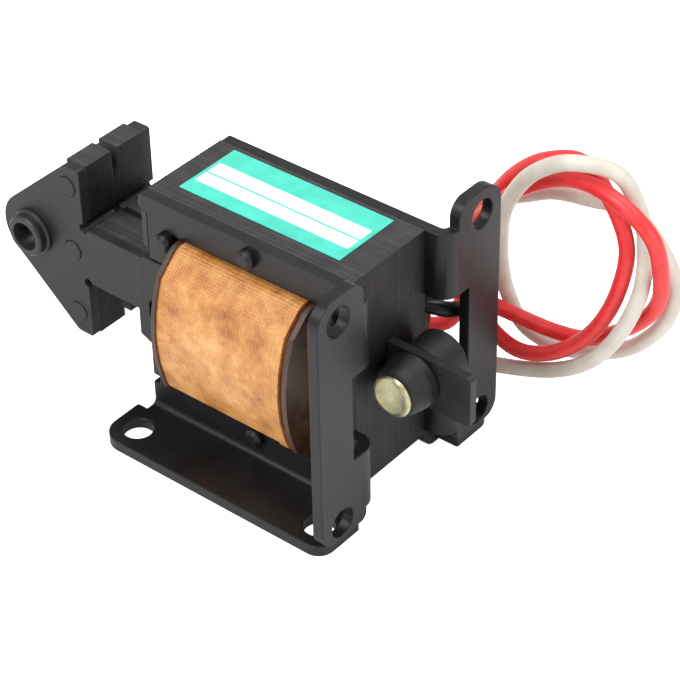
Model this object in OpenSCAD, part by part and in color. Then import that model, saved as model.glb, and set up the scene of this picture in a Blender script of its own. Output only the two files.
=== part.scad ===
// Push pull solenoid with a laminated yoke, a bracket of two side plates,
// a taped coil, a riveted plunger with an eye and a guided tail with bumpers.
// Millimetres, +Z up, plunger along X (eye towards -X), origin at the middle
// of the foot holes on the underside of the feet.

/* [Yoke] */
// Length of the lamination stack along the plunger
stack_l = 43; // [36:0.5:50]
// Thickness of the stack across the plunger
stack_t = 18; // [14:0.5:24]
// Height of the stack
stack_h = 42; // [38:0.5:50]
// Width of the upper and lower limbs
limb_t = 5.6; // [4:0.1:8]
// Width of the limb at the plunger side
left_limb = 6.6; // [5:0.1:9]
// Width of the wall behind the fixed core
right_wall = 6; // [4.5:0.1:8]
// Height of the opening the plunger enters
mouth_h = 18; // [14:0.5:22]
// Length of the fixed core inside the coil
stub_l = 8; // [4:0.5:12]

/* [Bracket] */
// Thickness of the side plates
plate_t = 2; // [1.5:0.1:3]
// Inside radius of the bends
bend_r = 1.1; // [0.8:0.1:2]
// Reach of a foot from the middle plane
foot_reach = 23; // [20:0.5:28]
// Spacing of the foot holes along the plunger
foot_pitch_x = 40; // [34:0.5:44]
// Spacing of the mounting holes across the plunger
hole_pitch_y = 36.4; // [33:0.2:42]
// Spacing of the flange holes in height
flange_pitch_z = 40.2; // [34:0.2:44]
// Diameter of every mounting hole
hole_d = 5.4; // [4:0.1:6]
// Height of the flanges above the feet
flange_top = 50.2; // [46.2:0.2:58]
// Height of the windows in the bends
bend_win = 16.6; // [10:0.2:22]

/* [Coil] */
// Greatest width of the bobbin flanges
bobbin_w = 37.8; // [33:0.2:40]
// Height of the bobbin flanges
bobbin_h = 30.2; // [26:0.1:30.4]
// Thickness of a bobbin flange
cheek_t = 1; // [0.7:0.1:1.4]
// Thickness of the tape around the winding
tape_t = 0.5; // [0.3:0.1:1]
// Outside diameter of the leads
lead_d = 2.8; // [1.6:0.1:2.9]

/* [Plunger] */
// Travel between the two pole faces
pole_gap = 16.35; // [10:0.05:18]
// Height of the plunger stem
stem_h = 11.2; // [9:0.1:11.4]
// Thickness of the whole plunger
plunger_t = 17.6; // [12:0.1:17.8]
// Thickness of an eye plate
eye_plate_t = 1.8; // [1.2:0.1:2.4]
// Thickness of the tail blade
blade_t = 1.5; // [1:0.1:2]
// Height of the tail blade
blade_h = 9.6; // [8:0.1:10.6]
// Height of the cross head
head_h = 34.6; // [28:0.1:38]
// Diameter of the bore in the eye bushes
eye_d = 5.4; // [3:0.1:6]
// Outside diameter of the eye bushes
bush_d = 8; // [7:0.1:10]
// Distance of the eye from the origin
eye_reach = 51.4; // [48:0.1:60]

/* [Tail] */
// Distance of the cross pin from the yoke end
pin_gap = 5.6; // [5.3:0.1:8]
// Diameter of the pin heads
pin_head_d = 7.5; // [5:0.1:9]
// Diameter of a rubber bumper at the blade
bumper_d = 10; // [8:0.1:10.4]
// Length of the tapered front bumper
bumper_l = 5.65; // [3:0.05:8]
// Length of the straight rear bumper
rear_bumper_l = 6.4; // [3:0.1:8]

/* [Hidden] */
$fn = 64;
stack_x0 = -stack_l / 2 - 1;
stack_x1 = stack_l / 2 - 1;
stack_z0 = 3.5;
stack_z1 = stack_z0 + stack_h;
zc = stack_z0 + stack_h / 2;
win_x0 = stack_x0 + left_limb;
win_x1 = stack_x1 - right_wall;
win_z0 = stack_z0 + limb_t;
win_z1 = stack_z1 - limb_t;
face_y = stack_t / 2;
out_y = face_y + plate_t;
bend_c = out_y + bend_r;
bend_o = bend_r + plate_t;
flange_x = stack_x1 + 4.5;
foot_xr = stack_x1 + 3.9;
foot_xl = stack_x0 - 2.1;
flange_z0 = plate_t + 0.2;
flange_mid = 25.4;
slot_t = blade_t + 0.4;
slot_h = blade_h + 0.6;
stub_x = win_x1 - stub_l;
stem_x = stub_x - pole_gap;
head_x = stack_x0 - 16.35;
arm_x = head_x - 4.35;
core_y = plunger_t / 2 - eye_plate_t;
apex_x = -eye_reach - 10.6;
corner_x = head_x - 3.5;
rivet_x = head_x - 3.05;
rivet_dz = 13.1;
pin_x = stack_x1 + pin_gap;
tail_x = pin_x + 11;
bar_t = 1.1;
ring_dz0 = 9.8;
ring_dz1 = 17.3;
slit_d = 0.5;
frame_rivet_pts = [
    [stack_x0 + 5.3, zc + 13.7],
    [stack_x0 + 5.3, zc - 13.7],
    [0.7, stack_z1 - limb_t / 2],
    [0.7, stack_z0 + limb_t / 2],
    [stack_x1 - 3, zc + 13.7],
    [stack_x1 - 3, zc - 13.7],
];
red_route = [
    [14.5, 16, 24.2], [18.5, 19, 23], [18.5, 24.5, 21.5], [15, 29, 19.5],
    [11.8, 32, 16.6], [13.6, 34.8, 13.6], [20.5, 35.8, 12.6], [28, 36.6, 12.2],
    [35, 36.8, 14], [43.5, 36.6, 21], [47.8, 36, 27.5], [49.2, 34, 35],
    [48, 32.5, 42.5], [42, 32, 47], [34, 33.6, 47], [27, 35, 44],
    [20.5, 35, 39.5], [15.5, 35, 34], [10.5, 36, 28], [7.5, 37, 21],
    [8.5, 37, 13.5], [14, 35.5, 8.5], [21.5, 33.5, 7.5], [28.5, 33, 10],
    [34.5, 33, 15], [39, 33, 21.5], [41.5, 34, 29], [41.5, 35.5, 36.5],
    [37.5, 36.5, 43], [31.5, 37, 48], [24.5, 36.8, 46], [18.5, 37.3, 41],
    [13.8, 38, 34.8], [9.5, 39.5, 28.5], [5, 41, 22], [3.2, 41.5, 14.5],
    [5, 40.5, 7.5], [4, 37, 3], [-2.5, 34.8, 1.6], [-10.5, 35, 1.5],
    [-19, 35.5, 1.5],
];
white_route = [
    [14.5, 12.9, 28], [18.6, 16.5, 28.4], [18.6, 23, 27.4], [15.8, 29.5, 25.5],
    [13, 35.5, 23.4], [11.6, 41, 24.3], [12.3, 43.6, 29.3], [18.5, 40.8, 34.5],
    [24.5, 39.8, 38], [31.5, 39.6, 39.5], [39, 39.8, 40.5], [44.2, 40.2, 36.2],
    [48.5, 39.5, 30.5], [48, 39.5, 23], [44.5, 39.2, 17], [39.5, 39.5, 12],
    [33, 39.5, 8.5], [26, 39.5, 6.5], [19, 39.5, 8], [16, 38.5, 14.5],
    [16, 36.5, 21.5], [17.5, 34, 28.5], [19, 32.5, 35.5], [22, 32, 42],
    [26.5, 31.5, 47.5], [32.5, 32, 51], [39.5, 34.6, 50.3], [42.8, 36.4, 44],
    [44.2, 36.8, 37], [45.6, 34.2, 30.5], [44.3, 32.3, 24], [41, 32.2, 17.5],
    [36.5, 32.3, 12], [30.5, 32.8, 7.5], [24, 33, 4.5], [17, 32.5, 2.6],
    [10, 31.5, 1.6], [2.5, 31, 1.5], [-4.5, 31, 1.5], [-12, 31.5, 1.5],
];

// ---------- small helpers ----------
function unit(v) = v / norm(v);
function plane(p) = [p[0], p[1]];

// Points of one rounded corner b with neighbours p and q.
function corner(p, b, q, r) =
    let (u = unit(p - b), w = unit(q - b), half = acos(u * w) / 2,
         m = b + unit(u + w) * r / sin(half),
         s = b + u * r / tan(half) - m,
         t = b + w * r / tan(half) - m,
         a = atan2(s[1], s[0]),
         turn = (atan2(t[1], t[0]) - a + 540) % 360 - 180,
         n = ceil(abs(turn) / 9))
    r == 0 ? [b] : [for (k = [0 : n])
        m + r * [cos(a + turn * k / n), sin(a + turn * k / n)]];

// Outline through the given corners, each corner rounded by its radius.
module rounded_outline(c) {
    n = len(c);
    polygon([for (i = [0 : n - 1])
        each corner(plane(c[(i + n - 1) % n]), plane(c[i]),
                    plane(c[(i + 1) % n]), c[i][2])]);
}

// Outline drawn in x and z, made thick from y0 to y1.
module slab_y(y0, y1) {
    translate([0, y1, 0]) rotate([90, 0, 0]) linear_extrude(y1 - y0) children();
}

// Outline drawn in y and z, made thick from x0 to x1.
module slab_x(x0, x1) {
    translate([x0, 0, 0]) rotate([90, 0, 90]) linear_extrude(x1 - x0) children();
}

module box(a, b) {
    translate(a) cube(b - a);
}

module rod_y(x, z, y0, y1, r) {
    translate([x, y1, z]) rotate([90, 0, 0]) cylinder(h = y1 - y0, r = r);
}

module rod_x(y, z, x0, x1, r) {
    translate([x0, y, z]) rotate([0, 90, 0]) cylinder(h = x1 - x0, r = r);
}

function tangent(p, i) =
    unit(p[min(i + 1, len(p) - 1)] - p[max(i - 1, 0)]);
function across(t, a) = unit(a - (a * t) * t);
function carried(p, i) =
    i == 0 ? across(tangent(p, 0), [0, 0, 1])
           : across(tangent(p, i), carried(p, i - 1));

// One tube swept along a list of points.
module tube(p, r) {
    n = 8;
    m = len(p);
    rings = [for (i = [0 : m - 1])
        let (t = tangent(p, i), a = carried(p, i), b = cross(t, a))
        for (k = [0 : n - 1])
            p[i] + r * (a * cos(360 * k / n) + b * sin(360 * k / n))];
    sides = [for (i = [0 : m - 2]) for (k = [0 : n - 1])
        [i * n + k, i * n + (k + 1) % n,
         (i + 1) * n + (k + 1) % n, (i + 1) * n + k]];
    first = [[for (k = [n - 1 : -1 : 0]) k]];
    last = [[for (k = [0 : n - 1]) (m - 1) * n + k]];
    polyhedron(points = rings, faces = concat(sides, first, last));
}

// ---------- yoke ----------
module yoke_core() color("#3c3a3c") difference() {
    box([stack_x0, -face_y, stack_z0], [stack_x1, face_y, stack_z1]);
    box([win_x0, -face_y - 1, win_z0], [win_x1, face_y + 1, win_z1]);
    box([stack_x0 - 1, -face_y - 1, zc - mouth_h / 2],
        [win_x0 + 1, face_y + 1, zc + mouth_h / 2]);
    box([win_x1 - 1, -slot_t / 2, zc - slot_h / 2],
        [stack_x1 + 1, slot_t / 2, zc + slot_h / 2]);
    for (s = [-1, 1]) for (d = [ring_dz0, ring_dz1 - bar_t])
        box([stack_x0 - 1, -face_y - 1, zc + (s > 0 ? d : -d - bar_t)],
            [stack_x0 + slit_d, face_y + 1, zc + (s > 0 ? d + bar_t : -d)]);
    for (p = frame_rivet_pts)
        rod_y(p[0], p[1], -face_y - 1, face_y + 1, 1.1);
}

module fixed_core() color("#5a5658") for (s = [-1, 1])
    box([stub_x, min(s * slot_t / 2, s * face_y), zc - stem_h / 2],
        [win_x1, max(s * slot_t / 2, s * face_y), zc + stem_h / 2]);

module shading_ring(s) difference() {
    slab_x(stack_x0 - 0.6, stack_x0 + slit_d)
        translate([0, zc + s * (ring_dz0 + ring_dz1) / 2])
        rounded_outline([[-face_y - 1.3, -3.75, 0.6], [face_y + 1.3, -3.75, 0.6],
                         [face_y + 1.3, 3.75, 0.6], [-face_y - 1.3, 3.75, 0.6]]);
    box([stack_x0 - 2, -face_y - 0.1, zc + s * (ring_dz0 + ring_dz1) / 2 - 2.65],
        [stack_x0 + 2, face_y + 0.1, zc + s * (ring_dz0 + ring_dz1) / 2 + 2.65]);
    // the cross bars lie flush in the pole face
    box([stack_x0 - 2, -face_y - 0.1, zc + s * (ring_dz0 + ring_dz1) / 2 - 5],
        [stack_x0, face_y + 0.1, zc + s * (ring_dz0 + ring_dz1) / 2 + 5]);
}

module shading_ring_upper() color("#4a4648") shading_ring(1);
module shading_ring_lower() color("#4a4648") shading_ring(-1);

// ---------- bracket ----------
module panel_outline() difference() {
    polygon([
        [stack_x0, bend_o], [stack_x0, 6.7], [stack_x0 + 1.4, 6.7],
        [stack_x0 + 1.4, 15], [stack_x0 - 0.1, 15], [stack_x0 - 2.2, 16],
        [stack_x0 - 2.2, 30.6], [stack_x0 - 0.3, 32.7], [stack_x0 + 4.1, 32.7],
        [stack_x0 + 4.1, 33.2], [stack_x0 + 1.4, 33.2], [stack_x0 + 1.4, 42.3],
        [stack_x0 - 0.4, 42.7], [stack_x0 - 0.4, stack_z1 - 0.6],
        [stack_x0 + 0.2, stack_z1], [flange_x - bend_o, stack_z1],
        [flange_x - bend_o, 4.6], [stack_x1, 4.6], [stack_x1, bend_o],
    ]);
    translate([win_x0, win_z0]) square([win_x1 - win_x0 + 0.4, win_z1 - win_z0]);
    for (d = [-0.7, 0.7]) translate([stack_x0 + 1.9, 22.1 + d]) circle(r = 1.7);
}

module side_plate() difference() {
    union() {
        slab_y(-out_y, -face_y) panel_outline();
        // bend down into the foot
        intersection() {
            difference() {
                rod_x(-bend_c, bend_o, stack_x0, stack_x1, bend_o);
                rod_x(-bend_c, bend_o, stack_x0 - 1, stack_x1 + 1, bend_r);
            }
            box([stack_x0, -bend_c, 0], [stack_x1, -face_y, bend_o]);
        }
        box([stack_x0, -bend_c - 2, 0], [stack_x1, -bend_c, plate_t]);
        linear_extrude(plate_t) rounded_outline([
            [foot_xl, -foot_reach, 4], [foot_xr, -foot_reach, 3],
            [foot_xr, -bend_c - 1.1, 0.4], [foot_xl, -bend_c - 1.1, 0.4]]);
        // bend out into the flange
        intersection() {
            difference() {
                translate([flange_x - bend_o, -bend_c, 0])
                    cylinder(h = stack_z1, r = bend_o);
                translate([flange_x - bend_o, -bend_c, -1])
                    cylinder(h = stack_z1 + 2, r = bend_r);
            }
            box([flange_x - bend_o, -bend_c, 4.6], [flange_x, -face_y, stack_z1]);
        }
        slab_x(flange_x - plate_t, flange_x) rounded_outline([
            [-foot_reach - 0.2, flange_z0, 3], [-bend_c, flange_z0, 1.4],
            [-bend_c, flange_top, 3], [-foot_reach - 0.2, flange_top, 4.5]]);
    }
    box([stack_x1 - 2.5, -bend_c - 3, zc - bend_win / 2],
        [flange_x + 1, -face_y + 1, zc + bend_win / 2]);
    for (s = [-1, 1]) {
        translate([s * foot_pitch_x / 2, -hole_pitch_y / 2, -1])
            cylinder(h = plate_t + 2, d = hole_d);
        rod_x(-hole_pitch_y / 2, flange_mid + s * flange_pitch_z / 2,
              flange_x - plate_t - 1, flange_x + 1, hole_d / 2);
    }
    for (p = frame_rivet_pts)
        rod_y(p[0], p[1], -out_y - 1, -face_y + 1, 1.1);
}

module side_plate_front() color("#2e2c2f") side_plate();
module side_plate_rear() color("#2e2c2f") mirror([0, 1, 0]) side_plate();

module frame_rivets() color("#2e2c2f") for (p = frame_rivet_pts) {
    rod_y(p[0], p[1], -out_y - 0.5, out_y + 0.5, 1.05);
    for (s = [-1, 1]) translate([p[0], s * out_y, p[1]]) rotate([-s * 90, 0, 0]) {
        cylinder(h = 1.1, r = 1.75);
        translate([0, 0, 1.1]) cylinder(h = 0.5, r1 = 1.75, r2 = 1.1);
    }
}

// ---------- coil ----------
module coil_outline(w, h) {
    arc_r = 29.3;
    intersection() {
        translate([arc_r - w, 0]) circle(r = arc_r, $fn = 128);
        translate([w - arc_r, 0]) circle(r = arc_r, $fn = 128);
        rounded_outline([
            [-w + 6.3, h, 3], [-w - 0.3, h - 6.1, 0], [-w - 0.3, 6.1 - h, 0],
            [-w + 6.3, -h, 3], [w - 6.3, -h, 3], [w + 0.3, 6.1 - h, 0],
            [w + 0.3, h - 6.1, 0], [w - 6.3, h, 3]]);
    }
}

module coil_ring(x0, x1, inset, hole_w, hole_h) {
    slab_x(x0, x1) translate([0, zc]) difference() {
        coil_outline(bobbin_w / 2 - inset, bobbin_h / 2 - inset);
        square([hole_w, hole_h], center = true);
    }
}

module bobbin() color("#4a2f22") difference() {
    union() {
        coil_ring(win_x1 - cheek_t, win_x1, 0, 18.1, 12);
        coil_ring(win_x0 + 1.5, win_x0 + 2.4, 0, 18.1, 12);
        box([win_x0 + 1.5, -10.2, zc - 7], [win_x1, 10.2, zc + 7]);
    }
    box([win_x0, -9.05, zc - 6], [win_x1 + 1, 9.05, zc + 6]);
}

module coil_winding() color("#8a4a22")
    coil_ring(win_x0 + 2.4, win_x1 - cheek_t, 0.3 + tape_t, 20.4, 14);

module tape_band(x0, x1, inset) slab_x(x0, x1) translate([0, zc]) difference() {
    coil_outline(bobbin_w / 2 - inset, bobbin_h / 2 - inset);
    coil_outline(bobbin_w / 2 - 0.3 - tape_t, bobbin_h / 2 - 0.3 - tape_t);
}

module coil_tape() color("#e8a030") {
    tape_band(win_x0 + 2.4, win_x1 - 3.7, 0.3);
    tape_band(win_x1 - 3.7, win_x1 - 1.9, 0.12);
}

module label() color("#4fffe0")
    box([stack_x0 + 4, -5.8, stack_z1], [stack_x1 - 5.4, 7.9, stack_z1 + 0.15]);

module lead_red() color("#b02018") tube(red_route, lead_d / 2);
module lead_white() color("#e6dcc4") tube(white_route, lead_d / 2);

// ---------- plunger ----------
module eye_plate_outline() difference() {
    rounded_outline([
        [apex_x, zc, 7], [corner_x, zc + head_h / 2, 1.5],
        [head_x, zc + head_h / 2, 0.5], [head_x, zc + stem_h / 2, 0],
        [stem_x, zc + stem_h / 2, 0], [stem_x, zc - stem_h / 2, 0],
        [head_x, zc - stem_h / 2, 0], [head_x, zc - head_h / 2, 0.5],
        [corner_x, zc - head_h / 2, 1.5]]);
    translate([-eye_reach, zc]) circle(d = bush_d - 0.9);
}

module rivet_holes() for (d = [-rivet_dz, 0, rivet_dz])
    translate([rivet_x, zc + d]) circle(r = 1.65);

module eye_plate(s) slab_y(min(s * core_y, s * plunger_t / 2),
                           max(s * core_y, s * plunger_t / 2)) difference() {
    eye_plate_outline();
    rivet_holes();
    for (d = [-1, 1]) translate([head_x, zc + d * (stem_h / 2 + 0.1)]) circle(r = 0.9);
}

module plunger_core(s) slab_y(min(s * core_y, s * blade_t / 2),
                              max(s * core_y, s * blade_t / 2)) difference() {
    union() {
        translate([arm_x, zc - head_h / 2]) square([head_x - arm_x, head_h]);
        translate([arm_x, zc - stem_h / 2]) square([stem_x - arm_x, stem_h]);
    }
    rivet_holes();
    for (d = [-1, 1]) translate([head_x, zc + d * (stem_h / 2 + 0.1)]) circle(r = 0.9);
}

module plunger_core_front() color("#7c7876") plunger_core(-1);
module plunger_core_rear() color("#7c7876") plunger_core(1);
module plunger_plate_front() color("#8c8886") eye_plate(-1);
module plunger_plate_rear() color("#8c8886") eye_plate(1);

module plunger_blade() color("#969290") slab_y(-blade_t / 2, blade_t / 2) difference() {
    rounded_outline([
        [arm_x, zc - blade_h / 2, 0.3], [tail_x, zc - blade_h / 2, 0.8],
        [tail_x, zc + blade_h / 2, 0.8], [arm_x, zc + blade_h / 2, 0.3]]);
    translate([rivet_x, zc]) circle(r = 1.65);
    translate([pin_x, zc]) circle(r = 1.75);
}

module eye_bush(s) translate([-eye_reach, 0, zc]) rotate([-s * 90, 0, 0])
    rotate_extrude() polygon([
        [eye_d / 2, core_y - 0.9], [bush_d / 2 - 0.1, core_y - 0.9],
        [bush_d / 2 - 0.1, core_y], [bush_d / 2 - 0.5, core_y],
        [bush_d / 2 - 0.5, plunger_t / 2], [bush_d / 2 + 0.35, plunger_t / 2],
        [bush_d / 2 + 0.35, plunger_t / 2 + 0.5], [bush_d / 2 - 0.1, plunger_t / 2 + 0.8],
        [bush_d / 2 - 0.1, plunger_t / 2 + 2], [bush_d / 2 - 0.4, plunger_t / 2 + 2.3],
        [eye_d / 2, plunger_t / 2 + 2.3]]);

module eye_bush_front() color("#a8a49c") eye_bush(-1);
module eye_bush_rear() color("#a8a49c") eye_bush(1);

module plunger_rivets() color("#8c8886") for (d = [-rivet_dz, 0, rivet_dz]) {
    rod_y(rivet_x, zc + d, -plunger_t / 2, plunger_t / 2, 1.6);
    for (s = [-1, 1]) translate([rivet_x, s * plunger_t / 2, zc + d])
        rotate([-s * 90, 0, 0]) cylinder(h = 0.2, r1 = 2, r2 = 1.8);
}

// ---------- tail ----------
module across_blade(s) translate([pin_x, 0, zc]) rotate([-s * 90, 0, 0]) children();

module bumper_front() color("#1c1a1b") across_blade(-1) rotate_extrude() polygon([
    [1.75, blade_t / 2], [bumper_d / 2 - 0.4, blade_t / 2],
    [bumper_d / 2, blade_t / 2 + 0.4], [bumper_d / 2 - 0.1, blade_t / 2 + 2],
    [bumper_d / 2 - 0.8, blade_t / 2 + bumper_l - 0.3],
    [bumper_d / 2 - 1.1, blade_t / 2 + bumper_l], [1.75, blade_t / 2 + bumper_l]]);

module bumper_rear() color("#1c1a1b") across_blade(1) rotate_extrude() polygon([
    [1.75, blade_t / 2], [bumper_d / 2 - 0.3, blade_t / 2],
    [bumper_d / 2, blade_t / 2 + 0.3], [bumper_d / 2, blade_t / 2 + rear_bumper_l - 0.5],
    [bumper_d / 2 - 0.5, blade_t / 2 + rear_bumper_l],
    [1.75, blade_t / 2 + rear_bumper_l]]);

module bumper_pin() color("#c8b060") {
    rod_y(pin_x, zc, -blade_t / 2 - bumper_l, blade_t / 2 + rear_bumper_l, 1.7);
    across_blade(-1) translate([0, 0, blade_t / 2 + bumper_l]) rotate_extrude() polygon([
        [0, 0], [pin_head_d / 2 - 0.1, 0], [pin_head_d / 2, 0.1], [pin_head_d / 2, 0.45],
        [pin_head_d / 2 - 0.25, 0.7], [pin_head_d / 2 - 0.7, 0.8], [0, 0.85]]);
    across_blade(1) translate([0, 0, blade_t / 2 + rear_bumper_l])
        cylinder(h = 0.4, r1 = 2.4, r2 = 2.1);
}

yoke_core();
fixed_core();
side_plate_front();
side_plate_rear();
frame_rivets();
shading_ring_upper();
shading_ring_lower();
bobbin();
coil_winding();
coil_tape();
label();
lead_red();
lead_white();
plunger_core_front();
plunger_core_rear();
plunger_blade();
plunger_plate_front();
plunger_plate_rear();
eye_bush_front();
eye_bush_rear();
plunger_rivets();
bumper_pin();
bumper_front();
bumper_rear();
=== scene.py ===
# %% [markdown]
# # Push pull solenoid
# A laminated iron yoke holds a coil, and a riveted plunger slides into it. The
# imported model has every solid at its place, so none is modelled again here. This
# script lays the two leads, gives each solid its finish, and sets the floor, the
# lights and the camera.
# %% Load the solids
import math

import bpy
from mathutils import Matrix, Vector


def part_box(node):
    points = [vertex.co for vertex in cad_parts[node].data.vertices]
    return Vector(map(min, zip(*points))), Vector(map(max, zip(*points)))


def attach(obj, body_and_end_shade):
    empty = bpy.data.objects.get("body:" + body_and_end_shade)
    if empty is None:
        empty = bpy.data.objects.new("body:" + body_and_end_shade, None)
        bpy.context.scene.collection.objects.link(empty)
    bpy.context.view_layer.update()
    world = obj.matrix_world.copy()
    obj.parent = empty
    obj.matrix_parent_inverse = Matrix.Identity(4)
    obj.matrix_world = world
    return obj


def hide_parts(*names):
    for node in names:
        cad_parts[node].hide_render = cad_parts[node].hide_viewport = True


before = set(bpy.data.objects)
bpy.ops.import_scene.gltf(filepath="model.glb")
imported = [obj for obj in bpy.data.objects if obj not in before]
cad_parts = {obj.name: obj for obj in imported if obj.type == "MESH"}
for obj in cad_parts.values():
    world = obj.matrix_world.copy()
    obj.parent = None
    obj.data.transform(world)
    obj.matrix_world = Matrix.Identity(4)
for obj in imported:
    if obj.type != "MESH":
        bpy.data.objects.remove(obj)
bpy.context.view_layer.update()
MM = 0.001
print("solids loaded:", len(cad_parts))

# %% [markdown]
# ## Camera
# A long lens keeps the parallel edges of a small part nearly parallel. The camera
# stands in front, to the right and above. Its axes are worked out from three
# angles, which are easier to read and to change than a typed rotation.
# %% Place the camera
AZIMUTH = math.radians(39.88)
ELEVATION = math.radians(37.42)
ROLL = math.radians(1.22)
LENS_MM = 129.5
SENSOR_MM = 36
CAMERA_PLACE = (0.2134, -0.2434, 0.2668)

back = Vector((math.sin(AZIMUTH) * math.cos(ELEVATION),
               -math.cos(AZIMUTH) * math.cos(ELEVATION),
               math.sin(ELEVATION)))
level = Vector((math.cos(AZIMUTH), math.sin(AZIMUTH), 0))
rise = back.cross(level)
right = level * math.cos(ROLL) - rise * math.sin(ROLL)
up = rise * math.cos(ROLL) + level * math.sin(ROLL)
turn = Matrix((right, up, back)).transposed().to_4x4()

bpy.ops.object.camera_add()
camera = bpy.context.object
camera.name = "camera"
camera.data.lens = LENS_MM
camera.data.sensor_width = SENSOR_MM
camera.data.clip_start = 10 * MM
camera.matrix_world = Matrix.Translation(CAMERA_PLACE) @ turn
bpy.context.scene.camera = camera
print("camera at", CAMERA_PLACE)

# %% [markdown]
# ## Leads
# Two insulated wires, as thick as the solids that they stand for. Both leave the
# coil at the rear right, stand in two loose turns behind the flange, and end on
# the floor behind the yoke. A curve with a round bevel was chosen because its
# path stays a plain list of points. It has a drawback that a mesh tube has not:
# the bounds of a curve take in its points' radius, which is 1 m here, so its
# bounding box comes out about 1 m too large on each side.
# %% The leads' routes, in millimetres, as in the solids
RED_ROUTE = [
    (14.5, 16, 24.2), (18.5, 19, 23), (18.5, 24.5, 21.5), (15, 29, 19.5),
    (11.8, 32, 16.6), (13.6, 34.8, 13.6), (20.5, 35.8, 12.6), (28, 36.6, 12.2),
    (35, 36.8, 14), (43.5, 36.6, 21), (47.8, 36, 27.5), (49.2, 34, 35),
    (48, 32.5, 42.5), (42, 32, 47), (34, 33.6, 47), (27, 35, 44),
    (20.5, 35, 39.5), (15.5, 35, 34), (10.5, 36, 28), (7.5, 37, 21),
    (8.5, 37, 13.5), (14, 35.5, 8.5), (21.5, 33.5, 7.5), (28.5, 33, 10),
    (34.5, 33, 15), (39, 33, 21.5), (41.5, 34, 29), (41.5, 35.5, 36.5),
    (37.5, 36.5, 43), (31.5, 37, 48), (24.5, 36.8, 46), (18.5, 37.3, 41),
    (13.8, 38, 34.8), (9.5, 39.5, 28.5), (5, 41, 22), (3.2, 41.5, 14.5),
    (5, 40.5, 7.5), (4, 37, 3), (-2.5, 34.8, 1.6), (-10.5, 35, 1.5),
    (-19, 35.5, 1.5),
]
WHITE_ROUTE = [
    (14.5, 12.9, 28), (18.6, 16.5, 28.4), (18.6, 23, 27.4), (15.8, 29.5, 25.5),
    (13, 35.5, 23.4), (11.6, 41, 24.3), (12.3, 43.6, 29.3), (18.5, 40.8, 34.5),
    (24.5, 39.8, 38), (31.5, 39.6, 39.5), (39, 39.8, 40.5), (44.2, 40.2, 36.2),
    (48.5, 39.5, 30.5), (48, 39.5, 23), (44.5, 39.2, 17), (39.5, 39.5, 12),
    (33, 39.5, 8.5), (26, 39.5, 6.5), (19, 39.5, 8), (16, 38.5, 14.5),
    (16, 36.5, 21.5), (17.5, 34, 28.5), (19, 32.5, 35.5), (22, 32, 42),
    (26.5, 31.5, 47.5), (32.5, 32, 51), (39.5, 34.6, 50.3), (42.8, 36.4, 44),
    (44.2, 36.8, 37), (45.6, 34.2, 30.5), (44.3, 32.3, 24), (41, 32.2, 17.5),
    (36.5, 32.3, 12), (30.5, 32.8, 7.5), (24, 33, 4.5), (17, 32.5, 2.6),
    (10, 31.5, 1.6), (2.5, 31, 1.5), (-4.5, 31, 1.5), (-12, 31.5, 1.5),
]
LEAD_DIAMETER = 0.0028
STEPS_PER_SPAN = 6


# %% A smooth path through a route
def through(p, q, r, s, t):
    """Point between q and r on a smooth curve through p, q, r and s."""
    return 0.5 * ((2 * q) + (r - p) * t + (2 * p - 5 * q + 4 * r - s) * t * t
                  + (3 * q - p - 3 * r + s) * t ** 3)


def smooth_path(route):
    """Points in metres, evenly stepped between each two points of the route."""
    pts = [Vector(p) * MM for p in route]
    ends = [2 * pts[0] - pts[1]] + pts + [2 * pts[-1] - pts[-2]]
    path = [through(*ends[i:i + 4], k / STEPS_PER_SPAN)
            for i in range(len(pts) - 1) for k in range(STEPS_PER_SPAN)]
    return path + [pts[-1]]


# %% Make both leads
def lead(name, node, route, diameter):
    """A round lead along its route, which replaces its solid."""
    path = smooth_path(route)
    data = bpy.data.curves.new(name, "CURVE")
    data.dimensions = "3D"
    data.bevel_depth = diameter / 2
    data.bevel_resolution = 6
    data.use_fill_caps = True
    spline = data.splines.new("POLY")
    spline.points.add(len(path) - 1)
    for point, place in zip(spline.points, path):
        point.co = (*place, 1)
    spline.use_smooth = True
    piece = bpy.data.objects.new(name, data)
    bpy.context.collection.objects.link(piece)
    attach(piece, "frame")
    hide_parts(node)
    return piece


red_lead = lead("red_lead", "lead_red", RED_ROUTE, LEAD_DIAMETER)
white_lead = lead("white_lead", "lead_white", WHITE_ROUTE, LEAD_DIAMETER)

# %% [markdown]
# ## Tools for the finishes
# Each finish of the part is a tree of nodes that ends in one shader. One function adds
# a node with its settings and links, so each finish reads from top to bottom. All
# patterns use Object coordinates, which are metres on these solids: a noise of
# scale 250 has patches of about 4 mm.
# %% Colours


def rgb(code):
    """Linear colour of an sRGB hex code."""
    parts = [int(code[i:i + 2], 16) / 255 for i in (1, 3, 5)]
    return (*[c / 12.92 if c < 0.04045 else ((c + 0.055) / 1.055) ** 2.4
              for c in parts], 1)


def grey(value):
    """A plain number as a colour, for ramps that give roughness or a mask."""
    return (value, value, value, 1)


# %% Materials and nodes
NOISE_ROUGHNESS = 0.55
FIRST, SECOND, THIRD = 0, 1, 2
MIX_A, MIX_B, MIX_RESULT = 6, 7, 2


def material(name, **sockets):
    """A material with its shader's plain sockets set."""
    mat = bpy.data.materials.new(name)
    mat.use_nodes = True
    shader = mat.node_tree.nodes["Principled BSDF"]
    for key, value in sockets.items():
        shader.inputs[key.replace("_", " ")].default_value = value
    return mat, shader


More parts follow.
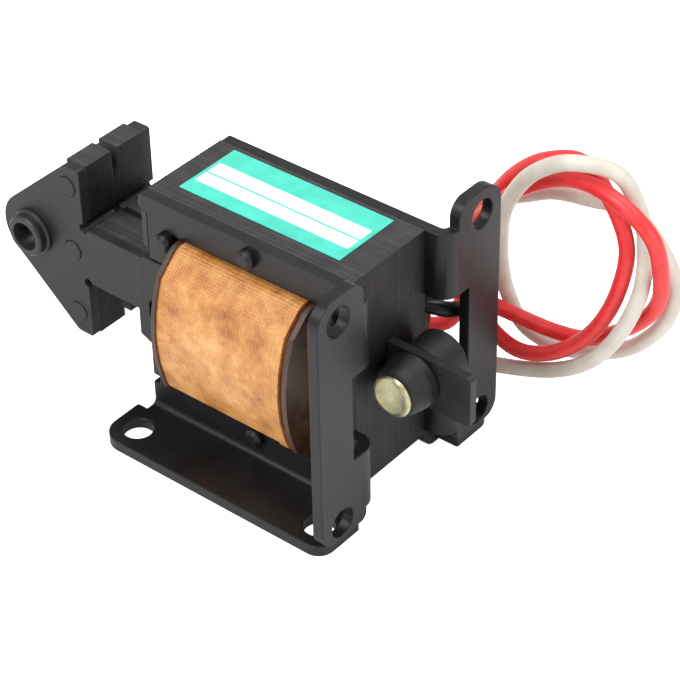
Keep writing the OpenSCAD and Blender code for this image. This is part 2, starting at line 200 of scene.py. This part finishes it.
def add(mat, kind, inputs=None, out=0, stops=(), **settings):
    """Adds a node, sets or links its inputs, and returns one of its outputs."""
    node = mat.node_tree.nodes.new("ShaderNode" + kind)
    for key, value in settings.items():
        setattr(node, key, value)
    for key, value in (inputs or {}).items():
        if isinstance(value, bpy.types.NodeSocket):
            mat.node_tree.links.new(value, node.inputs[key])
        else:
            node.inputs[key].default_value = value
    while stops and len(node.color_ramp.elements) < len(stops):
        node.color_ramp.elements.new(0.5)
    if stops:
        for element, (spot, color) in zip(node.color_ramp.elements, stops):
            element.position = spot
            element.color = color
    return node.outputs[out]


def join(mat, source, shader, socket):
    """Links a node's output to one of the shader's sockets."""
    mat.node_tree.links.new(source, shader.inputs[socket])


def relief(mat, shader, height, depth, strength, edge=0.3 * MM):
    """Fine height on the surface, over edges that look rounded by the radius edge."""
    rounded = add(mat, "Bevel", {"Radius": edge}, samples=4)
    normal = add(mat, "Bump", {"Height": height, "Distance": depth,
                               "Strength": strength, "Normal": rounded})
    join(mat, normal, shader, "Normal")


# %% [markdown]
# ## Stacked iron sheets
# The yoke, the fixed core and the plunger are stacks of thin varnished sheets. On
# the long sides their edges show as fine dark lines. The faces across the
# plunger's axis are painted darker, partly because their cut sheet edges are dull
# and partly as painted shade. Real sheets could be modelled, but at half a
# millimetre the lines are cheaper and as clear in the finish.
# %% Varnished laminations
SHEET = 0.5 * MM
WAVER = 0.12 * MM


def sheet_stack(mat, where):
    """Height of a stack of sheets, and a number that differs from sheet to sheet."""
    across = add(mat, "SeparateXYZ", {"Vector": where}, out="Y")
    slow = add(mat, "TexNoise", {"Vector": where, "Scale": 90, "Detail": 2,
                                 "Roughness": NOISE_ROUGHNESS})
    wavy = add(mat, "Math", {0: slow, 1: WAVER, 2: across}, operation="MULTIPLY_ADD")
    count = add(mat, "Math", {0: wavy, 1: SHEET}, operation="DIVIDE")
    part = add(mat, "Math", {0: count}, operation="FRACT")
    offset = add(mat, "Math", {0: part, 1: 0.5}, operation="SUBTRACT")
    groove = add(mat, "Math", {0: offset}, operation="ABSOLUTE")
    height = add(mat, "ValToRGB", {"Fac": groove},
                 stops=[(0.30, grey(1)), (0.48, grey(0))])
    number = add(mat, "Math", {0: count}, operation="FLOOR")
    sheet = add(mat, "TexWhiteNoise", {"W": number}, noise_dimensions="1D")
    return height, sheet


def dull_and_shaded_end_faces(mat):
    """1 on faces that look along the plunger, 0 elsewhere: these get a darker colour, partly
    for their dull cut edges and partly as painted shade.
    """
    normal = add(mat, "TexCoord", out="Normal")
    facing = add(mat, "SeparateXYZ", {"Vector": normal}, out="X")
    size = add(mat, "Math", {0: facing}, operation="ABSOLUTE")
    return add(mat, "Math", {0: size, 1: 0.8}, operation="GREATER_THAN")


def varnished_laminations():
    """Silicon steel under black varnish: dull, with lines between the sheets, and end faces
    painted darker, partly as painted shade.
    """
    mat, shader = material("black_varnished_laminations", IOR=1.42)
    where = add(mat, "TexCoord", out="Object")
    height, sheet = sheet_stack(mat, where)
    cloud = add(mat, "TexNoise", {"Vector": where, "Scale": 260, "Detail": 4,
                                  "Roughness": NOISE_ROUGHNESS})
    tone = add(mat, "Math", {0: sheet, 1: 0.3, 2: cloud}, operation="MULTIPLY_ADD")
    shade = add(mat, "ValToRGB", {"Fac": tone},
                stops=[(0.35, rgb("#2c292b")), (0.75, rgb("#3b373a")), (1.0, rgb("#4a4548"))])
    # End faces get a darker colour: partly for their dull cut edges, partly as painted shade.
    body_and_end_shade = add(mat, "Mix", {FIRST: dull_and_shaded_end_faces(mat), MIX_A: shade, MIX_B: rgb("#121112")},
               out=MIX_RESULT, data_type="RGBA")
    lit = add(mat, "Math", {0: height, 1: 0.6, 2: 0.4}, operation="MULTIPLY_ADD")
    lined = add(mat, "Mix", {FIRST: lit, MIX_A: rgb("#171516"), MIX_B: body_and_end_shade},
                out=MIX_RESULT, data_type="RGBA")
    gloss = add(mat, "ValToRGB", {"Fac": tone}, stops=[(0.3, grey(0.4)), (0.9, grey(0.58))])
    join(mat, lined, shader, "Base Color")
    join(mat, gloss, shader, "Roughness")
    relief(mat, shader, height, 0.04 * MM, 0.6)
    return mat


lamination = varnished_laminations()
print("one sheet is", SHEET / MM, "mm thick")

# %% [markdown]
# ## Black paint
# The bracket, the plunger's plates and the eye bushes are steel under black paint.
# Sprayed paint has orange peel, clouds of more and less gloss, and small grey
# specks where it is rubbed. One function makes all three, from darker and glossier
# on the bracket to lighter on the bushes.
# %% Painted steel
PEEL = 0.08 * MM
RUBBED = rgb("#8f8b88")


def black_coat(name, dark, light, rough, speck_scale, edge=0.5 * MM):
    """Black enamel on steel, with orange peel and small rubbed specks."""
    mat, shader = material(name, IOR=1.42)
    where = add(mat, "TexCoord", out="Object")
    cloud = add(mat, "TexNoise", {"Vector": where, "Scale": 120, "Detail": 4,
                                  "Roughness": NOISE_ROUGHNESS})
    shade = add(mat, "ValToRGB", {"Fac": cloud}, stops=[(0.3, rgb(dark)), (0.7, rgb(light))])
    grit = add(mat, "TexNoise", {"Vector": where, "Scale": speck_scale, "Detail": 4,
                                 "Roughness": 0.7})
    dust = add(mat, "ValToRGB", {"Fac": grit}, stops=[(0.74, grey(0)), (0.8, grey(1))])
    area = add(mat, "TexNoise", {"Vector": where, "Scale": 55, "Detail": 2,
                                 "Roughness": NOISE_ROUGHNESS})
    patch = add(mat, "ValToRGB", {"Fac": area}, stops=[(0.5, grey(0)), (0.68, grey(1))])
    worn = add(mat, "Math", {0: dust, 1: patch}, operation="MULTIPLY")
    color = add(mat, "Mix", {FIRST: worn, MIX_A: shade, MIX_B: RUBBED},
                out=MIX_RESULT, data_type="RGBA")
    gloss = add(mat, "ValToRGB", {"Fac": cloud},
                stops=[(0.3, grey(rough)), (0.75, grey(rough + 0.14))])
    join(mat, color, shader, "Base Color")
    join(mat, gloss, shader, "Roughness")
    fine = add(mat, "TexNoise", {"Vector": where, "Scale": 2600, "Detail": 2,
                                 "Roughness": NOISE_ROUGHNESS})
    coarse = add(mat, "TexNoise", {"Vector": where, "Scale": 420, "Detail": 3,
                                   "Roughness": NOISE_ROUGHNESS})
    uneven = add(mat, "Math", {0: fine, 1: 0.25, 2: coarse}, operation="MULTIPLY_ADD")
    relief(mat, shader, uneven, PEEL, 0.5, edge)
    return mat


enamel = black_coat("black_bracket_enamel", "#141315", "#1f1d20", 0.27, 1500)
oxide = black_coat("black_plunger_paint", "#1b1a1c", "#29272a", 0.36, 1100, 0.3 * MM)
bush_black = black_coat("black_eye_bush", "#1d1b1d", "#343133", 0.3, 900, 0.2 * MM)

# %% [markdown]
# ## Bare and varnished metal
# The cross pin is turned steel with yellow zinc plating, which shows as a pale
# gold with fine marks. The shading rings are bent bar under dark varnish. Both
# have a fine grain and a soft tarnish, so one function makes them.
# %% Pin and shading rings


def steel(name, dark, light, rough, metallic):
    """Plated or varnished metal, with fine turning marks and a soft tarnish."""
    mat, shader = material(name, Metallic=metallic)
    where = add(mat, "TexCoord", out="Object")
    cloud = add(mat, "TexNoise", {"Vector": where, "Scale": 420, "Detail": 5,
                                  "Roughness": 0.62})
    squeezed = add(mat, "Mapping", {"Vector": where, "Scale": (1, 5, 1)})
    fine = add(mat, "TexNoise", {"Vector": squeezed, "Scale": 1400, "Detail": 4,
                                 "Roughness": 0.6})
    most = add(mat, "Math", {0: cloud, 1: 0.75}, operation="MULTIPLY")
    tone = add(mat, "Math", {0: fine, 1: 0.35, 2: most}, operation="MULTIPLY_ADD")
    color = add(mat, "ValToRGB", {"Fac": tone}, stops=[(0.3, rgb(dark)), (0.72, rgb(light))])
    gloss = add(mat, "ValToRGB", {"Fac": tone},
                stops=[(0.25, grey(rough - 0.08)), (0.8, grey(rough + 0.12))])
    join(mat, color, shader, "Base Color")
    join(mat, gloss, shader, "Roughness")
    relief(mat, shader, fine, 0.02 * MM, 0.7)
    return mat


pin_zinc = steel("yellow_zinc_pin", "#a39c70", "#e2dfbd", 0.3, 1.0)
ring_black = steel("varnished_shading_ring", "#1f1b1c", "#3b3535", 0.42, 0.2)

# %% [markdown]
# ## Coil tape
# Woven glass tape soaked in amber varnish. It shows a fine weave, and stains
# where the varnish ran. Two sine waves that cross give the weave. Its thread
# spacing is drawn at 0.6 mm, which is as fine as still shows.
# %% Woven tape
THREAD = 0.6 * MM


def woven_tape():
    """Amber tape: the weave gives height, and the stains give most of the colour."""
    mat, shader = material("amber_woven_coil_tape", Coat_Weight=0.25, Coat_Roughness=0.2)
    where = add(mat, "TexCoord", out="Object")
    x, y, z = [add(mat, "SeparateXYZ", {"Vector": where}, out=axis) for axis in "XYZ"]
    round_way = add(mat, "Math", {0: y, 1: 0.6, 2: z}, operation="MULTIPLY_ADD")
    waves = []
    for way in (x, round_way):
        angle = add(mat, "Math", {0: way, 1: math.tau / THREAD}, operation="MULTIPLY")
        waves.append(add(mat, "Math", {0: angle}, operation="SINE"))
    half = add(mat, "Math", {0: waves[1], 1: 0.5}, operation="MULTIPLY")
    weave = add(mat, "Math", {0: waves[0], 1: 0.5, 2: half}, operation="MULTIPLY_ADD")
    stain = add(mat, "TexNoise", {"Vector": where, "Scale": 330, "Detail": 6,
                                  "Roughness": 0.68})
    broad = add(mat, "TexNoise", {"Vector": where, "Scale": 75, "Detail": 3,
                                  "Roughness": NOISE_ROUGHNESS})
    spots = add(mat, "Math", {0: stain, 1: 0.7}, operation="MULTIPLY")
    cloudy = add(mat, "Math", {0: broad, 1: 0.6, 2: spots}, operation="MULTIPLY_ADD")
    tone = add(mat, "Math", {0: weave, 1: 0.045, 2: cloudy}, operation="MULTIPLY_ADD")
    color = add(mat, "ValToRGB", {"Fac": tone},
                stops=[(0.4, rgb("#84421c")), (0.56, rgb("#b97638")),
                       (0.7, rgb("#d39450")), (0.86, rgb("#e6b478"))])
    gloss = add(mat, "ValToRGB", {"Fac": stain}, stops=[(0.3, grey(0.3)), (0.7, grey(0.52))])
    join(mat, color, shader, "Base Color")
    join(mat, gloss, shader, "Roughness")
    relief(mat, shader, weave, PEEL, 0.6)
    return mat


tape = woven_tape()

# %% [markdown]
# ## Bobbin and winding
# The bobbin is brown phenolic board, which is paper or cloth in resin: its fibres
# show as short streaks. The winding is fine varnished wire, and its turns are
# drawn 0.3 mm apart.
# %% Phenolic board
TURN = 0.3 * MM


def phenolic_board():
    """Brown board with fibres that run across the plunger's axis."""
    mat, shader = material("brown_phenolic_board", Coat_Weight=0.15, Coat_Roughness=0.3)
    where = add(mat, "TexCoord", out="Object")
    squeezed = add(mat, "Mapping", {"Vector": where, "Scale": (6, 1, 1)})
    fibre = add(mat, "TexNoise", {"Vector": squeezed, "Scale": 500, "Detail": 5,
                                  "Roughness": 0.65})
    color = add(mat, "ValToRGB", {"Fac": fibre},
                stops=[(0.32, rgb("#2a1a12")), (0.55, rgb("#4a2f20")), (0.75, rgb("#6b4630"))])
    gloss = add(mat, "ValToRGB", {"Fac": fibre}, stops=[(0.3, grey(0.35)), (0.7, grey(0.55))])
    join(mat, color, shader, "Base Color")
    join(mat, gloss, shader, "Roughness")
    relief(mat, shader, fibre, 0.05 * MM, 0.5)
    return mat


phenolic = phenolic_board()


# %% Wound wire
def wound_wire():
    """Enamelled copper wire under varnish: red brown, with ridges for its turns."""
    mat, shader = material("varnished_winding_wrap", Roughness=0.45)
    where = add(mat, "TexCoord", out="Object")
    x = add(mat, "SeparateXYZ", {"Vector": where}, out="X")
    angle = add(mat, "Math", {0: x, 1: math.tau / TURN}, operation="MULTIPLY")
    turns = add(mat, "Math", {0: angle}, operation="SINE")
    cloud = add(mat, "TexNoise", {"Vector": where, "Scale": 400, "Detail": 4,
                                  "Roughness": NOISE_ROUGHNESS})
    color = add(mat, "ValToRGB", {"Fac": cloud},
                stops=[(0.3, rgb("#4a2312")), (0.7, rgb("#8f4d22"))])
    join(mat, color, shader, "Base Color")
    relief(mat, shader, turns, 0.06 * MM, 0.8)
    return mat


winding = wound_wire()

# %% [markdown]
# ## Label
# A turquoise paper label with two plain white bands along it, and nothing printed
# on them. The bands are measured from the label's own corners, so they stay in
# place if the label moves.
# %% Label paper
BAND_A = (3.1 * MM, 5.9 * MM)
BAND_B = (6.3 * MM, 9.3 * MM)
MARGIN_START = 0.7 * MM
MARGIN_END = 0.9 * MM


def inside(mat, value, start, stop):
    """1 where the value lies between start and stop, 0 elsewhere."""
    middle = (start + stop) / 2
    half = (stop - start) / 2
    offset = add(mat, "Math", {0: value, 1: middle}, operation="SUBTRACT")
    away = add(mat, "Math", {0: offset}, operation="ABSOLUTE")
    return add(mat, "Math", {0: away, 1: half}, operation="LESS_THAN")


def label_paper():
    """Coated paper: smooth and a little glossy, in two plain colours."""
    mat, shader = material("turquoise_label_paper", Coat_Weight=0.2, Coat_Roughness=0.25)
    where = add(mat, "TexCoord", out="Object")
    low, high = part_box("label")
    x, y = [add(mat, "SeparateXYZ", {"Vector": where}, out=axis) for axis in "XY"]
    length = inside(mat, x, low[0] + MARGIN_START, high[0] - MARGIN_END)
    band_a = inside(mat, y, low[1] + BAND_A[0], low[1] + BAND_A[1])
    band_b = inside(mat, y, low[1] + BAND_B[0], low[1] + BAND_B[1])
    either = add(mat, "Math", {0: band_a, 1: band_b}, operation="MAXIMUM")
    bands = add(mat, "Math", {0: either, 1: length}, operation="MULTIPLY")
    dull = add(mat, "TexNoise", {"Vector": where, "Scale": 300, "Detail": 4,
                                 "Roughness": NOISE_ROUGHNESS})
    teal = add(mat, "ValToRGB", {"Fac": dull},
               stops=[(0.3, rgb("#3cbfa8")), (0.7, rgb("#49d2bb"))])
    white = add(mat, "ValToRGB", {"Fac": dull},
                stops=[(0.3, rgb("#e4efec")), (0.7, rgb("#f8fcfa"))])
    color = add(mat, "Mix", {FIRST: bands, MIX_A: teal, MIX_B: white},
                out=MIX_RESULT, data_type="RGBA")
    gloss = add(mat, "ValToRGB", {"Fac": dull}, stops=[(0.3, grey(0.38)), (0.7, grey(0.5))])
    join(mat, color, shader, "Base Color")
    join(mat, gloss, shader, "Roughness")
    grain = add(mat, "TexNoise", {"Vector": where, "Scale": 1500, "Detail": 2,
                                  "Roughness": NOISE_ROUGHNESS})
    relief(mat, shader, grain, 0.02 * MM, 0.4, 0.1 * MM)
    return mat


paper = label_paper()

# %% [markdown]
# ## Rubber and lead coverings
# The bumpers are black moulded rubber, nearly without shine. The leads' coverings
# are soft coloured plastic. Close to the coil each lead is painted dark, as painted
# shade where it runs in the frame's shadow. This is a change of colour and not a piece of its
# own.
# %% Bumper rubber


def bumper_rubber():
    """Moulded rubber: black, dull and faintly uneven."""
    mat, shader = material("black_bumper_rubber", Specular_IOR_Level=0.4)
    where = add(mat, "TexCoord", out="Object")
    cloud = add(mat, "TexNoise", {"Vector": where, "Scale": 350, "Detail": 5,
                                  "Roughness": 0.65})
    color = add(mat, "ValToRGB", {"Fac": cloud},
                stops=[(0.3, rgb("#0f0e0f")), (0.75, rgb("#1f1d1e"))])
    gloss = add(mat, "ValToRGB", {"Fac": cloud}, stops=[(0.3, grey(0.42)), (0.7, grey(0.62))])
    join(mat, color, shader, "Base Color")
    join(mat, gloss, shader, "Roughness")
    relief(mat, shader, cloud, 0.06 * MM, 0.5)
    return mat


rubber = bumper_rubber()

# %% Lead coverings
SHADE_END_Y = 20 * MM
PAINTED_SHADE = rgb("#1d1a1a")


def covering(name, dark, light):
    """A lead's plastic covering, painted dark close to the coil as painted shade."""
    mat, shader = material(name, Specular_IOR_Level=0.5)
    where = add(mat, "TexCoord", out="Object")
    cloud = add(mat, "TexNoise", {"Vector": where, "Scale": 240, "Detail": 5,
                                  "Roughness": 0.6})
    shade = add(mat, "ValToRGB", {"Fac": cloud}, stops=[(0.3, rgb(dark)), (0.7, rgb(light))])
    y = add(mat, "SeparateXYZ", {"Vector": where}, out="Y")
    # Painted shade: the lead is darkened where it runs close to the coil.
    shade_near_coil = add(mat, "Math", {0: y, 1: SHADE_END_Y}, operation="LESS_THAN")
    color = add(mat, "Mix", {FIRST: shade_near_coil, MIX_A: shade, MIX_B: PAINTED_SHADE},
                out=MIX_RESULT, data_type="RGBA")
    gloss = add(mat, "ValToRGB", {"Fac": cloud}, stops=[(0.3, grey(0.3)), (0.7, grey(0.46))])
    join(mat, color, shader, "Base Color")
    join(mat, gloss, shader, "Roughness")
    grain = add(mat, "TexNoise", {"Vector": where, "Scale": 1400, "Detail": 3,
                                  "Roughness": NOISE_ROUGHNESS})
    relief(mat, shader, grain, 0.04 * MM, 0.5, 0.1 * MM)
    return mat


red_cover = covering("red_lead_covering", "#d62a2c", "#ea3c3e")
white_cover = covering("cream_lead_covering", "#c4bdb0", "#d6d0c6")

# %% [markdown]
# ## Each solid gets its finish
# The solids keep their shapes. A finish goes into each slot that a solid has, so
# every part of it is covered.
# %% Dress the solids and the leads
DRESS = {
    lamination: ["yoke_core", "fixed_core", "plunger_core_front",
                 "plunger_core_rear"],
    enamel: ["side_plate_front", "side_plate_rear", "frame_rivets"],
    ring_black: ["shading_ring_upper", "shading_ring_lower"],
    phenolic: ["bobbin"],
    winding: ["coil_winding"],
    tape: ["coil_tape"],
    paper: ["label"],
    oxide: ["plunger_plate_front", "plunger_plate_rear", "plunger_rivets",
            "plunger_blade"],
    bush_black: ["eye_bush_front", "eye_bush_rear"],
    pin_zinc: ["bumper_pin"],
    rubber: ["bumper_front", "bumper_rear"],
}


def dress(piece, mat):
    """Gives a new piece its one material."""
    piece.data.materials.clear()
    piece.data.materials.append(mat)


for mat, names in DRESS.items():
    for name in names:
        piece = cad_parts[name]
        if not piece.material_slots:
            piece.data.materials.append(mat)
        for slot in piece.material_slots:
            slot.material = mat
dress(red_lead, red_cover)
dress(white_lead, white_cover)
print("solids dressed:", sum(len(names) for names in DRESS.values()))

# %% [markdown]
# ## Floor and light
# A plain pale floor, a soft even world and three large lamps. The floor glows for
# the camera alone, so it looks nearly white and yet throws no extra light on the
# part.
# %% Pale floor
FLOOR_SIZE = 6
FLOOR_GAP = 0.2 * MM

bpy.ops.mesh.primitive_plane_add(size=FLOOR_SIZE, location=(0, 0, -FLOOR_GAP))
floor = bpy.context.object
floor.name = "floor"
ground, shader = material("pale_floor", Roughness=0.9)
shader.inputs["Base Color"].default_value = rgb("#f4f4f2")
seen = add(ground, "LightPath", out="Is Camera Ray")
glow = add(ground, "Emission", {"Color": grey(1), "Strength": 0.9})
both = add(ground, "AddShader", {FIRST: shader.outputs[0], SECOND: glow})
pick = add(ground, "MixShader", {FIRST: seen, SECOND: shader.outputs[0], THIRD: both})
surface = ground.node_tree.nodes["Material Output"].inputs["Surface"]
ground.node_tree.links.new(pick, surface)
dress(floor, ground)

# %% World and lamps
WORLD_STRENGTH = 0.6
AIM = (0, 0, 0.02)

world = bpy.data.worlds.new("studio")
world.use_nodes = True
bpy.context.scene.world = world
sky = world.node_tree.nodes["Background"]
sky.inputs["Color"].default_value = grey(1)
sky.inputs["Strength"].default_value = WORLD_STRENGTH


def lamp(name, size, power, place):
    """A square lamp of the given size and power, which looks at the part."""
    bpy.ops.object.light_add(type="AREA", location=place)
    light = bpy.context.object
    light.name = name
    light.data.size = size
    light.data.energy = power
    light.rotation_euler = (Vector(AIM) - Vector(place)).to_track_quat("-Z", "Y").to_euler()


lamp("key_softbox", 0.45, 4.2, (-0.15, -0.55, 0.6))
lamp("top_softbox", 0.6, 3.5, (0.1, 0.25, 0.75))
lamp("side_softbox", 0.4, 1.2, (0.6, -0.05, 0.25))

bpy.context.scene.view_settings.view_transform = "Standard"
